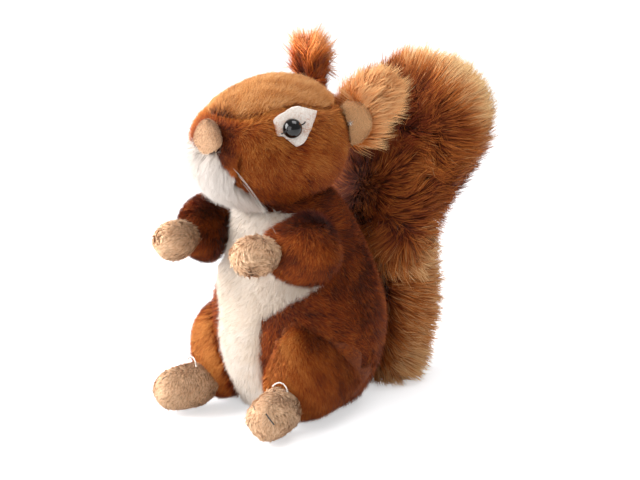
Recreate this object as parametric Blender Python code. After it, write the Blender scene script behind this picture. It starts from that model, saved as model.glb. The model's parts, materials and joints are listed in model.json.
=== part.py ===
"""A plush squirrel that sits up, its hands held out in front and its brush of a tail standing behind it.

It is sewn from short rust pile, with cream, white and golden panels let into the rust, long pile on the
tail and the ears, velour paws, felt round the eyes and glossy eyes. It faces -Y, its own left side is +X,
and it sits on Z = 0 with the origin under the middle of its seat. All sizes are in metres, and they take in
the pile as it stands.
"""

import math

import bmesh
import bpy
import numpy as np
from mathutils import Matrix, Vector

# Torso, an egg with its blunt end on the ground
TORSO_TOP = 0.112
TORSO_SINK = 0.012
SEAT_WIDTH = 0.080
SEAT_DEPTH = 0.084
CHEST_WIDTH = 0.066
CHEST_DEPTH = 0.066
NECK_WIDTH = 0.058
NECK_DEPTH = 0.054
NECK_LEAN = 0.0155

# Panels of another fabric, let into the pile round them
PANEL_DEPTH = 0.0030
SEAM_CLEARANCE = 0.0003
BELLY_TOP_WIDTH = 0.034
BELLY_TOP_DROP = 0.018
BELLY_WEDGE_WIDTH = 0.062
BELLY_WEDGE_HEIGHT = 0.064
BELLY_WAIST_WIDTH = 0.0260
BELLY_WAIST_HEIGHT = 0.049
BELLY_FOOT_WIDTH = 0.0200
BELLY_FOOT_HEIGHT = 0.004

# Head, measured from the middle of the skull
SKULL_ABOVE_NECK = 0.0095
SKULL_FORWARD = 0.012
HEAD_TURN = math.radians(5)
HEAD_TILT = math.radians(2)
HEAD_BACK = 0.028
SNOUT_REACH = 0.0435
SKULL_WIDTH = 0.062
SKULL_TALL = 0.061
SNOUT_WIDTH = 0.0450
SNOUT_TALL = 0.0450
SNOUT_RISE = -0.0020
NOSE_WIDTH = 0.0225
NOSE_TALL = 0.0200
NOSE_DEPTH = 0.0190
NOSE_SET_BACK = 0.0070
NOSE_ASIDE = 0.0025
NOSE_RISE = 0.0060

# The golden crown's lower edge and the white muzzle's upper edge, seen from the side of the head
CROWN_NOSE_RISE = 0.0160
CROWN_BROW_SET_BACK = 0.0120
CROWN_BACK_RISE = 0.0175
CHIN_NOSE_RISE = 0.0030
CHIN_CHEEK_SET_BACK = 0.0065
CHIN_CHEEK_DROP = 0.0110
CHIN_THROAT_SET_BACK = 0.0270
CHIN_THROAT_DROP = 0.0250

# Eyes, in a felt patch with one long corner
EYE_DIAMETER = 0.0092
EYE_SINK = 0.0010
EYE_FORWARD = 0.0135
EYE_RISE = 0.0122
PATCH_LENGTH = 0.0200
PATCH_TALL = 0.0150
PATCH_DEPTH = 0.0012
PATCH_BROW = 0.0015

# Ears, a velour disc in front of a fan of long pile
EAR_SET_IN = 0.0102
EAR_BACK = 0.0240
EAR_RISE = 0.0090
EAR_FACE = math.radians(42)
EAR_DISC_WIDTH = 0.0170
EAR_DISC_TALL = 0.0205
EAR_DISC_THICK = 0.0040
TUFT_OUT = 0.0065
TUFT_BACK = 0.0140
LEFT_TUFT_RISE = 0.0165
RIGHT_TUFT_RISE = 0.0235
TUFT_WIDTH = 0.0270
TUFT_THICK = 0.0130
EAR_ROOT_WIDTH = 0.0230
EAR_ROOT_DROP = 0.0060
TACK_TURN = 8

# Arms and hands
SHOULDER_OUT = 0.0190
SHOULDER_FORWARD = 0.0090
SHOULDER_DROP = 0.0280
ELBOW_OUT = 0.0295
ELBOW_FORWARD = 0.0240
ELBOW_DROP = 0.0040
WRIST_OUT = 0.0235
LEFT_WRIST_FORWARD = 0.0410
RIGHT_WRIST_FORWARD = 0.0470
WRIST_DROP = 0.0035
UPPER_ARM_THICK = 0.0325
WRIST_THICK = 0.0290
HAND_LENGTH = 0.0220
HAND_THICK = 0.0190
HAND_WIDTH = 0.0205
HAND_TUCK = 0.0040

# Haunches and feet
HAUNCH_OUT = 0.0175
HAUNCH_PRESSED = 0.0020
HAUNCH_REAR = 0.0270
KNEE_FORWARD = 0.0400
KNEE_OUT = 0.0225
HAUNCH_REAR_WIDTH = 0.0400
HAUNCH_REAR_TALL = 0.0500
HAUNCH_WIDTH = 0.0420
KNEE_TALL = 0.0665
FOOT_LENGTH = 0.0335
FOOT_WIDTH = 0.0230
FOOT_THICK = 0.0225
HEEL_FORWARD = 0.0290
HEEL_OUT = 0.0225
LEFT_FOOT_TURN = math.radians(24)
RIGHT_FOOT_TURN = math.radians(10)

# Tail, standing against the back and leaning away from it at the top
TAIL_ASIDE = 0.0040
TAIL_SINK = 0.0160
TAIL_ROOT_BACK = 0.0500
TAIL_ROOT_WIDTH = 0.0470
TAIL_ROOT_DEPTH = 0.0440
TAIL_STEM_BACK = 0.0545
TAIL_STEM_HEIGHT = 0.0380
TAIL_BEND_BACK = 0.0470
TAIL_BEND_HEIGHT = 0.0800
TAIL_BEND_WIDTH = 0.0580
TAIL_BEND_DEPTH = 0.0440
TAIL_PLUME_BACK = 0.0720
TAIL_PLUME_HEIGHT = 0.1190
TAIL_PLUME_WIDTH = 0.0680
TAIL_PLUME_DEPTH = 0.0680
TAIL_TOP_BACK = 0.0830
TAIL_TOP = 0.1500
TAIL_LOCK_DEPTH = 0.0022
TAIL_LOCKS = 8

# Threads and whiskers
THREAD_THICK = 0.0007
THREAD_LOOP = 0.0022
WHISKER_THICK = 0.0004
WHISKER_LENGTH = 0.019
WHISKER_DROOP = 0.005
WHISKER_FORWARD = 0.033
WHISKER_COUNT = 3
WHISKER_FIRST = 4
WHISKER_STEP = 9
FINGER_DEPTH = 0.0012
FINGERS = 4
EAR_LOCK_DEPTH = 0.0016
EAR_LOCKS = 5

# The share of a spine over which its heading is taken
SPINE_STEP = 0.01
# Shares of the torso's height at which the seat and the chest are widest
SEAT_SHARE = 0.30
CHEST_SHARE = 0.66
# Where the toe stitches and the ankle loop lie: shares of the foot's length, and degrees round it
TOE_SHARE = 0.80
TOE_SHARE_STEP = 0.05
TOE_TURNS = (70, 110)
ANKLE_SHARE = 0.45
ANKLE_START = 62
ANKLE_STEP = 7
# How the whiskers point: to the left, forward and up of the head, and how far each drops below the last
WHISKER_AIM_LEFT = (0.70, 0.00, -0.60)
WHISKER_AIM_RIGHT = (-0.80, 0.45, 0.05)
WHISKER_FAN_LEFT = 0.07
WHISKER_FAN_RIGHT = 0.22
WHISKER_BENDS = 8
WHISKER_SPREAD = 0.03
# Edges turned by more than this are left crisp
CRISP = 40

LEFT, RIGHT = 1, -1
SIDES = {"L": LEFT, "R": RIGHT}
COLOURS = {
    "rust": (0.29, 0.085, 0.022),
    "golden": (0.60, 0.29, 0.11),
    "cream": (0.88, 0.76, 0.64),
    "white": (0.88, 0.84, 0.80),
    "velour": (0.56, 0.33, 0.18),
    "felt": (0.80, 0.70, 0.62),
    "eye": (0.006, 0.005, 0.005),
    "long_pile": (0.30, 0.09, 0.025),
    "tuft": (0.62, 0.24, 0.07),
    "white_thread": (0.85, 0.84, 0.82),
    "black_thread": (0.012, 0.011, 0.011),
}
GLOSSY = {"eye"}


def clear_scene():
    for item in list(bpy.data.objects):
        bpy.data.objects.remove(item, do_unlink=True)


def finish_of(name):
    """The material of one fabric or fitting, made once."""
    made = bpy.data.materials.get(name)
    if made:
        return made
    made = bpy.data.materials.new(name)
    made.use_nodes = True
    shader = made.node_tree.nodes["Principled BSDF"]
    shader.inputs["Base Color"].default_value = (*COLOURS[name], 1)
    shader.inputs["Roughness"].default_value = 0.06 if name in GLOSSY else 0.95
    shader.inputs["Metallic"].default_value = 0.0
    made.diffuse_color = (*COLOURS[name], 1)
    return made


def along(keys, share):
    """The value at a share, 0 to 1, of the smooth curve through evenly spaced keys."""
    keys = np.asarray(keys, float)
    place = min(max(share, 0.0), 1.0) * (len(keys) - 1)
    k = min(int(place), len(keys) - 2)
    u = place - k
    before = keys[k - 1] if k > 0 else 2 * keys[0] - keys[1]
    after = keys[k + 2] if k + 2 < len(keys) else 2 * keys[-1] - keys[-2]
    a, b = keys[k], keys[k + 1]
    return 0.5 * (2 * a + (b - before) * u + (2 * before - 5 * a + 4 * b - after) * u**2
                  + (3 * a - before - 3 * b + after) * u**3)


class Form:
    """A stuffed form: an oval section carried along a curved spine, and rounded off at both ends.

    Short and thick forms are upright: all their sections stand square to the line from end to end, so that
    a sharp bend can't fold one section through the next.
    """

    def __init__(self, spine, sections, across, blunt=2.0, rings=14, sides=24, on_ground=False,
                 locks=(0, 0, 0), upright=False):
        self.spine = spine
        self.sections = sections
        self.across = Vector(across)
        self.blunt = blunt
        self.rings = rings
        self.sides = sides
        self.on_ground = on_ground
        self.locks = locks
        self.upright = upright

    def heading(self, share):
        """The way that the spine runs at a share of its length."""
        near, far = along(self.spine, share - SPINE_STEP), along(self.spine, share + SPINE_STEP)
        ahead = Vector(far) - Vector(near)
        return ahead.normalized()

    def point(self, share, turn, lift=0.0):
        """The place on the skin at a share of the spine and a turn round it, lifted off by an amount.

        The locks are furrows along the form: how many go round it, how deep they are and how far they wind.
        """
        if self.upright:
            ahead = (Vector(self.spine[-1]) - Vector(self.spine[0])).normalized()
        else:
            ahead = self.heading(share)
        side = (self.across - self.across.dot(ahead) * ahead).normalized()
        high = ahead.cross(side)
        wide, tall = along(self.sections, share)
        rounding = (1 - abs(2 * share - 1) ** self.blunt) ** (1 / self.blunt)
        count, depth, twist = self.locks
        swell = lift - depth * share * (0.5 - 0.5 * math.cos(count * turn + twist * share * 2 * math.pi))
        place = Vector(along(self.spine, share)) + ahead * ((2 * share - 1) * lift)
        place += side * ((wide / 2 * rounding + swell * min(1.0, 2 * rounding)) * math.cos(turn))
        place += high * ((tall / 2 * rounding + swell * min(1.0, 2 * rounding)) * math.sin(turn))
        if self.on_ground:
            place.z = max(place.z, -max(lift, 0.0))
        return place

    def solid(self, name, lift=0.0):
        """A closed mesh object of the form, its skin lifted off by an amount."""
        work = bmesh.new()
        loops = []
        for i in range(1, self.rings):
            share = (1 - math.cos(math.pi * i / self.rings)) / 2
            turns = [2 * math.pi * j / self.sides for j in range(self.sides)]
            loops.append([work.verts.new(self.point(share, turn, lift)) for turn in turns])
        first = work.verts.new(self.point(0.0, 0.0, lift))
        last = work.verts.new(self.point(1.0, 0.0, lift))
        for low, high in zip(loops, loops[1:]):
            for j in range(self.sides):
                k = (j + 1) % self.sides
                work.faces.new((low[j], low[k], high[k], high[j]))
        for j in range(self.sides):
            k = (j + 1) % self.sides
            work.faces.new((first, loops[0][k], loops[0][j]))
            work.faces.new((last, loops[-1][j], loops[-1][k]))
        bmesh.ops.recalc_face_normals(work, faces=work.faces)
        mesh = bpy.data.meshes.new(name)
        work.to_mesh(mesh)
        work.free()
        made = bpy.data.objects.new(name, mesh)
        bpy.context.scene.collection.objects.link(made)
        return made


def prism(name, outline, place, depth):
    """A closed slab: a flat outline of (across, up) pairs, run along its frame's third axis."""
    work = bmesh.new()
    near = [work.verts.new(place @ Vector((a, b, 0.0))) for a, b in outline]
    far = [work.verts.new(place @ Vector((a, b, depth))) for a, b in outline]
    work.faces.new(near)
    work.faces.new(list(reversed(far)))
    for j in range(len(outline)):
        k = (j + 1) % len(outline)
        work.faces.new((near[j], far[j], far[k], near[k]))
    bmesh.ops.recalc_face_normals(work, faces=work.faces)
    mesh = bpy.data.meshes.new(name)
    work.to_mesh(mesh)
    work.free()
    made = bpy.data.objects.new(name, mesh)
    bpy.context.scene.collection.objects.link(made)
    return made


def widened(outline, amount):
    """An outline moved outward along its corners by an amount."""
    points = [Vector(p) for p in outline]
    area = sum(a.x * b.y - b.x * a.y for a, b in zip(points, points[1:] + points[:1]))
    out = []
    for before, here, after in zip(points[-1:] + points[:-1], points, points[1:] + points[:1]):
        one, two = (here - before).normalized(), (after - here).normalized()
        corner = Vector((one.y + two.y, -one.x - two.x)).normalized() * math.copysign(1, area)
        spread = max(0.5, corner.dot(Vector((one.y, -one.x)) * math.copysign(1, area)))
        out.append(here + corner * (amount / spread))
    return [tuple(p) for p in out]


def combine(target, other, operation):
    """Cut, join or clip the target with another closed object, and remove that other object."""
    change = target.modifiers.new(operation, "BOOLEAN")
    change.operation = operation
    change.solver = "EXACT"
    change.object = other
    view = bpy.context.evaluated_depsgraph_get()
    view.update()
    mesh = bpy.data.meshes.new_from_object(target.evaluated_get(view))
    target.modifiers.remove(change)
    old = target.data
    target.data = mesh
    bpy.data.meshes.remove(old)
    bpy.data.objects.remove(other, do_unlink=True)
    return target


def seat_on(piece, *hosts):
    """Take away what a piece shares with the forms that it is sewn to, less the seam's clearance."""
    for host in hosts:
        combine(piece, host.solid("host", SEAM_CLEARANCE), "DIFFERENCE")
    return piece


def let_in(name, host_solid, host_form, outline, place, run, depth):
    """Let a panel of another fabric into a host, flush with its skin, with a seam's clearance round it."""
    pocket = prism("pocket", widened(outline, SEAM_CLEARANCE), place, run)
    combine(pocket, host_form.solid("floor", -depth), "DIFFERENCE")
    combine(host_solid, pocket, "DIFFERENCE")
    panel = host_form.solid(name)
    combine(panel, prism("border", outline, place, run), "INTERSECT")
    return combine(panel, host_form.solid("floor", SEAM_CLEARANCE - depth), "DIFFERENCE")


def dress(piece, finish):
    """Give a finished piece its material and smooth shading."""
    piece.data.materials.clear()
    piece.data.materials.append(finish_of(finish))
    piece.data.shade_smooth()
    piece.data.set_sharp_from_angle(angle=math.radians(CRISP))
    return piece


def strand(name, points, thick, finish):
    """A thread or whisker: a round tube with closed ends through a few points."""
    curve = bpy.data.curves.new(name, "CURVE")
    curve.dimensions = "3D"
    line = curve.splines.new("POLY")
    line.points.add(len(points) - 1)
    for spot, place in zip(line.points, points):
        spot.co = (*place, 1.0)
    curve.bevel_depth = thick / 2
    curve.bevel_resolution = 0
    curve.use_fill_caps = True
    made = bpy.data.objects.new(name, curve)
    bpy.context.scene.collection.objects.link(made)
    curve.materials.append(finish_of(finish))
    return made


def head_axes():
    """The head's own left, forward and up, turned aside and tilted towards its left shoulder."""
    turned = Matrix.Rotation(-HEAD_TURN, 3, "Z") @ Matrix.Rotation(HEAD_TILT, 3, "Y")
    return turned @ Vector((1, 0, 0)), turned @ Vector((0, -1, 0)), turned @ Vector((0, 0, 1))


def on_head(side, forward, rise):
    """A place measured from the skull: to the squirrel's left, forward and up."""
    left, ahead, up = head_axes()
    middle = Vector((0, -SKULL_FORWARD, TORSO_TOP + SKULL_ABOVE_NECK))
    return middle + left * side + ahead * forward + up * rise


def head_frame(direction):
    """A frame at the skull: forward across, up up, and its third axis towards one side."""
    left, ahead, up = head_axes()
    columns = Matrix((ahead, up, left * direction)).transposed().to_4x4()
    return Matrix.Translation(on_head(0, 0, 0)) @ columns


def torso_form():
    spine = [(0, 0, -TORSO_SINK), (0, 0, TORSO_TOP * SEAT_SHARE),
             (0, -NECK_LEAN / 3, TORSO_TOP * CHEST_SHARE),
             (0, -NECK_LEAN, TORSO_TOP)]
    sections = [(SEAT_WIDTH, SEAT_DEPTH), (SEAT_WIDTH, SEAT_DEPTH), (CHEST_WIDTH, CHEST_DEPTH),
                (NECK_WIDTH, NECK_DEPTH)]
    return Form(spine, sections, (1, 0, 0), blunt=2.2, rings=18, sides=32, on_ground=True)


def head_form():
    spine = [on_head(0, -HEAD_BACK, 0), on_head(0, 0, 0), on_head(0, SNOUT_REACH / 2, SNOUT_RISE / 3),
             on_head(0, SNOUT_REACH, SNOUT_RISE)]
    sections = [(SKULL_WIDTH, SKULL_TALL), (SKULL_WIDTH, SKULL_TALL),
                ((SKULL_WIDTH + SNOUT_WIDTH) / 2, (SKULL_TALL + SNOUT_TALL) / 2), (SNOUT_WIDTH, SNOUT_TALL)]
    return Form(spine, sections, head_axes()[0], blunt=2.7, rings=18, sides=32)


def haunch_form(side):
    rear, knee = HAUNCH_REAR_TALL / 2 - HAUNCH_PRESSED, KNEE_TALL / 2 - HAUNCH_PRESSED
    spine = [(side * HAUNCH_OUT, HAUNCH_REAR, rear),
             (side * (HAUNCH_OUT + KNEE_OUT) / 2, (HAUNCH_REAR - KNEE_FORWARD) / 2, (rear + knee) / 2),
             (side * KNEE_OUT, -KNEE_FORWARD, knee)]
    sections = [(HAUNCH_REAR_WIDTH, HAUNCH_REAR_TALL), (HAUNCH_WIDTH, (HAUNCH_REAR_TALL + KNEE_TALL) / 2),
                (HAUNCH_WIDTH, KNEE_TALL)]
    return Form(spine, sections, (1, 0, 0), blunt=2.3, rings=14, sides=28, on_ground=True)


def foot_form(side, turn):
    step = Vector((side * math.sin(turn), -math.cos(turn), 0))
    heel = Vector((side * HEEL_OUT, -HEEL_FORWARD, FOOT_THICK / 2))
    spine = [heel, heel + step * FOOT_LENGTH / 2, heel + step * FOOT_LENGTH]
    sections = [(FOOT_WIDTH, FOOT_THICK)] * 3
    return Form(spine, sections, (1, 0, 0), blunt=2.6, rings=12, sides=24, on_ground=True,
                locks=(FINGERS, FINGER_DEPTH, 0))


def elbow_of(side):
    return Vector((side * ELBOW_OUT, -ELBOW_FORWARD, TORSO_TOP - SHOULDER_DROP - ELBOW_DROP))


def wrist_of(side):
    forward = LEFT_WRIST_FORWARD if side == LEFT else RIGHT_WRIST_FORWARD
    return Vector((side * WRIST_OUT, -forward, TORSO_TOP - SHOULDER_DROP - WRIST_DROP))


def arm_form(side):
    shoulder = Vector((side * SHOULDER_OUT, -SHOULDER_FORWARD, TORSO_TOP - SHOULDER_DROP))
    spine = [shoulder, elbow_of(side), wrist_of(side)]
    sections = [(UPPER_ARM_THICK, UPPER_ARM_THICK), (UPPER_ARM_THICK, UPPER_ARM_THICK),
                (WRIST_THICK, WRIST_THICK)]
    return Form(spine, sections, (1, 0, 0), blunt=2.6, rings=12, sides=24, upright=True)


def hand_form(side):
    wrist = wrist_of(side)
    reach = (wrist - elbow_of(side)).normalized()
    start = wrist - reach * HAND_TUCK
    spine = [start, start + reach * HAND_LENGTH / 2, start + reach * HAND_LENGTH]
    sections = [(HAND_WIDTH, HAND_THICK)] * 3
    return Form(spine, sections, (1, 0, 0), blunt=2.4, rings=10, sides=24, locks=(FINGERS, FINGER_DEPTH, 0))


def ear_centre(side):
    return on_head(side * (SKULL_WIDTH / 2 - EAR_SET_IN), -EAR_BACK, EAR_RISE)


def ear_facing(side):
    left, ahead, _ = head_axes()
    return left * side * math.cos(EAR_FACE) + ahead * math.sin(EAR_FACE)


def ear_form(side):
    back = ear_facing(side) * -(EAR_DISC_THICK + TUFT_THICK) / 2
    rise = LEFT_TUFT_RISE if side == LEFT else RIGHT_TUFT_RISE
    tip = on_head(side * (SKULL_WIDTH / 2 - EAR_SET_IN + TUFT_OUT), -EAR_BACK - TUFT_BACK, EAR_RISE + rise)
    middle = ear_centre(side) + back
    root = middle - head_axes()[2] * (EAR_DISC_TALL / 2 + EAR_ROOT_DROP)
    spine = [root, middle, (middle + tip) / 2, tip]
    sections = [(EAR_ROOT_WIDTH, TUFT_THICK), (EAR_ROOT_WIDTH, TUFT_THICK), (TUFT_WIDTH, TUFT_THICK),
                (TUFT_WIDTH, TUFT_THICK)]
    across = ear_facing(side).cross(head_axes()[2])
    return Form(spine, sections, across, blunt=2.6, rings=12, sides=30,
                locks=(EAR_LOCKS, EAR_LOCK_DEPTH, 0))


def ear_disc_form(side):
    half = head_axes()[2] * EAR_DISC_TALL / 2
    middle = ear_centre(side)
    spine = [middle - half, middle, middle + half]
    sections = [(EAR_DISC_WIDTH, EAR_DISC_THICK)] * 3
    across = ear_facing(side).cross(head_axes()[2])
    return Form(spine, sections, across, blunt=2.0, rings=10, sides=20)


def tail_form():
    spine = [(TAIL_ASIDE, TAIL_ROOT_BACK, -TAIL_SINK), (TAIL_ASIDE, TAIL_STEM_BACK, TAIL_STEM_HEIGHT),
             (TAIL_ASIDE, TAIL_BEND_BACK, TAIL_BEND_HEIGHT),
             (TAIL_ASIDE, TAIL_PLUME_BACK, TAIL_PLUME_HEIGHT),
             (TAIL_ASIDE, TAIL_TOP_BACK, TAIL_TOP)]
    sections = [(TAIL_ROOT_WIDTH, TAIL_ROOT_DEPTH), (TAIL_ROOT_WIDTH, TAIL_ROOT_DEPTH),
                (TAIL_BEND_WIDTH, TAIL_BEND_DEPTH), (TAIL_PLUME_WIDTH, TAIL_PLUME_DEPTH),
                (TAIL_PLUME_WIDTH, TAIL_PLUME_DEPTH)]
    return Form(spine, sections, (1, 0, 0), blunt=2.7, rings=28, sides=40, on_ground=True,
                locks=(TAIL_LOCKS, TAIL_LOCK_DEPTH, 1))


def belly_outline():
    half = [(BELLY_TOP_WIDTH, TORSO_TOP - BELLY_TOP_DROP), (BELLY_WEDGE_WIDTH, BELLY_WEDGE_HEIGHT),
            (BELLY_WAIST_WIDTH, BELLY_WAIST_HEIGHT), (BELLY_FOOT_WIDTH, BELLY_FOOT_HEIGHT)]
    return [(w / 2, z) for w, z in half] + [(-w / 2, z) for w, z in reversed(half)]


def crown_outline():
    """The crown, seen from the side: its lower edge runs from the nose over the eye to the back."""
    top, front, rear = SKULL_TALL, SNOUT_REACH + NOSE_DEPTH, -2 * HEAD_BACK
    half = PATCH_LENGTH / 2
    return [(front, top), (rear, top), (rear, CROWN_BACK_RISE), (EYE_FORWARD - 2 * half, CROWN_BACK_RISE),
            (EYE_FORWARD - 1.6 * half, EYE_RISE + 0.7 * PATCH_TALL / 2 + PATCH_BROW),
            (EYE_FORWARD - 0.5 * half, EYE_RISE + PATCH_TALL / 2 + PATCH_BROW),
            (EYE_FORWARD + 0.8 * half, EYE_RISE + 0.7 * PATCH_TALL / 2 + PATCH_BROW),
            (SNOUT_REACH - CROWN_BROW_SET_BACK, CROWN_NOSE_RISE), (front, CROWN_NOSE_RISE)]


def muzzle_outline():
    """The white muzzle, chin and throat, seen from the side of the head."""
    low, front = -SKULL_TALL, SNOUT_REACH + NOSE_DEPTH
    cheek = SNOUT_REACH - CHIN_CHEEK_SET_BACK
    throat = SNOUT_REACH - CHIN_THROAT_SET_BACK
    return [(front, CHIN_NOSE_RISE), (cheek, CHIN_NOSE_RISE), (cheek, -CHIN_CHEEK_DROP),
            (throat, -CHIN_THROAT_DROP), (0.0, low), (front, low)]


def patch_outline():
    """The felt patch, seen from the side: a rounded leaf with a long corner to the rear and top."""
    half, tall = PATCH_LENGTH / 2, PATCH_TALL / 2
    leaf = [(0.76, 0.50), (0.15, 0.80), (-0.55, 0.87), (-1.48, 0.58), (-1.00, -0.10), (-0.50, -0.90),
            (-0.05, -1.02), (0.40, -0.52), (0.78, -0.30)]
    return [(EYE_FORWARD + a * half, EYE_RISE + b * tall) for a, b in leaf]


def build_torso(torso):
    body = torso.solid("body")
    front = Matrix(((1, 0, 0), (0, 0, 1), (0, 1, 0))).transposed().to_4x4()
    place = Matrix.Translation((0, -SEAT_DEPTH, 0)) @ front
    panel = let_in("belly_panel", body, torso, belly_outline(), place, SEAT_DEPTH, PANEL_DEPTH)
    dress(body, "rust")
    dress(panel, "cream")


def build_head(head, torso):
    skull = head.solid("head")
    sideways = Matrix.Translation(head_axes()[0] * -SKULL_WIDTH) @ head_frame(LEFT)
    crown = let_in("crown_panel", skull, head, crown_outline(), sideways, 2 * SKULL_WIDTH, PANEL_DEPTH)
    muzzle = let_in("muzzle", skull, head, muzzle_outline(), sideways, 2 * SKULL_WIDTH, PANEL_DEPTH)
    for name, side in SIDES.items():
        patch = let_in("eye_patch_" + name, skull, head, patch_outline(), head_frame(side),
                       SKULL_WIDTH, PATCH_DEPTH)
        dress(patch, "felt")
        radius = EYE_DIAMETER / 2
        surface = side_of_head(head, EYE_FORWARD, EYE_RISE, side)
        surface -= head_axes()[0] * side * EYE_SINK
        eye = Form([surface - Vector((0, 0, radius)), surface, surface + Vector((0, 0, radius))],
                   [(EYE_DIAMETER, EYE_DIAMETER)] * 3, (1, 0, 0), rings=12, sides=20)
        dress(seat_on(eye.solid("eye_" + name), head), "eye")
    nose_forward = SNOUT_REACH - NOSE_SET_BACK
    nose_spine = [on_head(NOSE_ASIDE, nose_forward, NOSE_RISE + end * NOSE_TALL / 2) for end in (-1, 0, 1)]
    nose = Form(nose_spine, [(NOSE_WIDTH, NOSE_DEPTH)] * 3, head.across, rings=10, sides=20)
    for piece in (skull, muzzle):
        seat_on(piece, torso)
    dress(seat_on(nose.solid("nose"), head), "velour")
    dress(skull, "rust")
    dress(crown, "golden")
    dress(muzzle, "white")


def side_of_head(head, forward, rise, side):
    """The place on the head's skin that lies straight out to one side of a forward and a rise."""
    share = (forward + HEAD_BACK) / (SNOUT_REACH + HEAD_BACK)
    best = None
    for i in range(-20, 21):
        for j in range(-30, 31):
            turn = (0 if side == LEFT else math.pi) + j * math.radians(2)
            place = head.point(min(max(share + i * 0.01, 0.01), 0.99), turn)
            local = head_frame(LEFT).inverted() @ place
            miss = (local.x - forward) ** 2 + (local.y - rise) ** 2
            if best is None or miss < best[0]:
                best = (miss, place)
    return best[1]


def build_ears(head):
    for name, side in SIDES.items():
        disc = ear_disc_form(side)
        tuft = ear_form(side)
        dress(seat_on(tuft.solid("ear_" + name), head, disc), "tuft")
        dress(seat_on(disc.solid("inner_ear_" + name), head), "velour")


def build_limbs(head, torso):
    turns = {LEFT: LEFT_FOOT_TURN, RIGHT: RIGHT_FOOT_TURN}
    for name, side in SIDES.items():
        arm = arm_form(side)
        haunch = haunch_form(side)
        hand = hand_form(side)
        foot = foot_form(side, turns[side])
        dress(seat_on(arm.solid("arm_" + name), torso, head), "rust")
        dress(seat_on(hand.solid("hand_" + name), arm, head), "velour")
        dress(seat_on(haunch.solid("haunch_" + name), torso), "rust")
        dress(seat_on(foot.solid("foot_" + name), haunch), "velour")


def build_tail(torso):
    dress(seat_on(tail_form().solid("tail"), torso, haunch_form(LEFT), haunch_form(RIGHT)), "long_pile")


def thread_on(name, form, path, finish, loop=0.0):
    """A thread laid along a form's skin, a seam's clearance off it, or standing up from it in a loop."""
    rest = SEAM_CLEARANCE + THREAD_THICK / 2
    points = []
    for k, (share, degrees) in enumerate(path):
        rise = loop * math.sin(math.pi * k / (len(path) - 1))
        points.append(form.point(share, math.radians(degrees), rest + rise))
    return strand(name, points, THREAD_THICK, finish)


def build_threads():
    """The tacks in the ears, the stitches that part the toes and the loops left at the ankles."""
    turns = {LEFT: LEFT_FOOT_TURN, RIGHT: RIGHT_FOOT_TURN}
    for name, side in SIDES.items():
        inward = -side * TACK_TURN
        tack = [(0.42, 90 + inward), (0.50, 90 + inward * 1.1), (0.58, 90 + inward)]
        thread_on("ear_tack_" + name, ear_disc_form(side), tack, "white_thread")
        foot = foot_form(side, turns[side])
        for k, degrees in enumerate(TOE_TURNS):
            toe = [(TOE_SHARE + TOE_SHARE_STEP * i, degrees) for i in range(4)]
            thread_on("toe_stitch_%s%d" % (name, k + 1), foot, toe, "black_thread")
        ankle = [(ANKLE_SHARE, ANKLE_START + ANKLE_STEP * i) for i in range(6)]
        thread_on("ankle_thread_" + name, foot, ankle, "white_thread", THREAD_LOOP)


def build_whiskers(head):
    """Nylon whiskers from both sides of the muzzle, each bent down by its own weight."""
    share = (WHISKER_FORWARD + HEAD_BACK) / (SNOUT_REACH + HEAD_BACK)
    for name, side in SIDES.items():
        for k in range(WHISKER_COUNT):
            below = math.radians(WHISKER_FIRST + WHISKER_STEP * k)
            turn = -below if side == LEFT else math.pi + below
            root = head.point(share - WHISKER_SPREAD * k, turn, SEAM_CLEARANCE + WHISKER_THICK / 2)
            aim = Vector(WHISKER_AIM_LEFT if side == LEFT else WHISKER_AIM_RIGHT)
            aim.z -= k * (WHISKER_FAN_LEFT if side == LEFT else WHISKER_FAN_RIGHT)
            outward = (on_head(*aim) - on_head(0, 0, 0)).normalized()
            points = []
            for i in range(WHISKER_BENDS + 1):
                run = i / WHISKER_BENDS
                droop = Vector((0, 0, WHISKER_DROOP * run**2))
                points.append(root + outward * WHISKER_LENGTH * run - droop)
            strand("whisker_%s%d" % (name, k + 1), points, WHISKER_THICK, "white_thread")


def build_part():
    clear_scene()
    torso = torso_form()
    head = head_form()
    build_torso(torso)
    build_head(head, torso)
    build_ears(head)
    build_limbs(head, torso)
    build_tail(torso)
    build_threads()
    build_whiskers(head)


build_part()
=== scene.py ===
# %% [markdown]
# A sitting plush squirrel, dressed over its plain solids.
# Every piece of the toy is sewn from a pile fabric: a knitted backing with cut fibres standing out of it.
# So each stuffed piece here is made in two steps, as the toy is. The backing is shaped first, from the
# solid's own mesh, and is blown up a little by a cloth simulation, as stuffing does. Then the pile is set
# into it, fibre by fibre, combed the way the maker brushed it.

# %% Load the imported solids
import json
import math
import bpy
import numpy as np
from mathutils import Matrix, Vector
from mathutils.bvhtree import BVHTree
from mathutils.kdtree import KDTree

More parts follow.
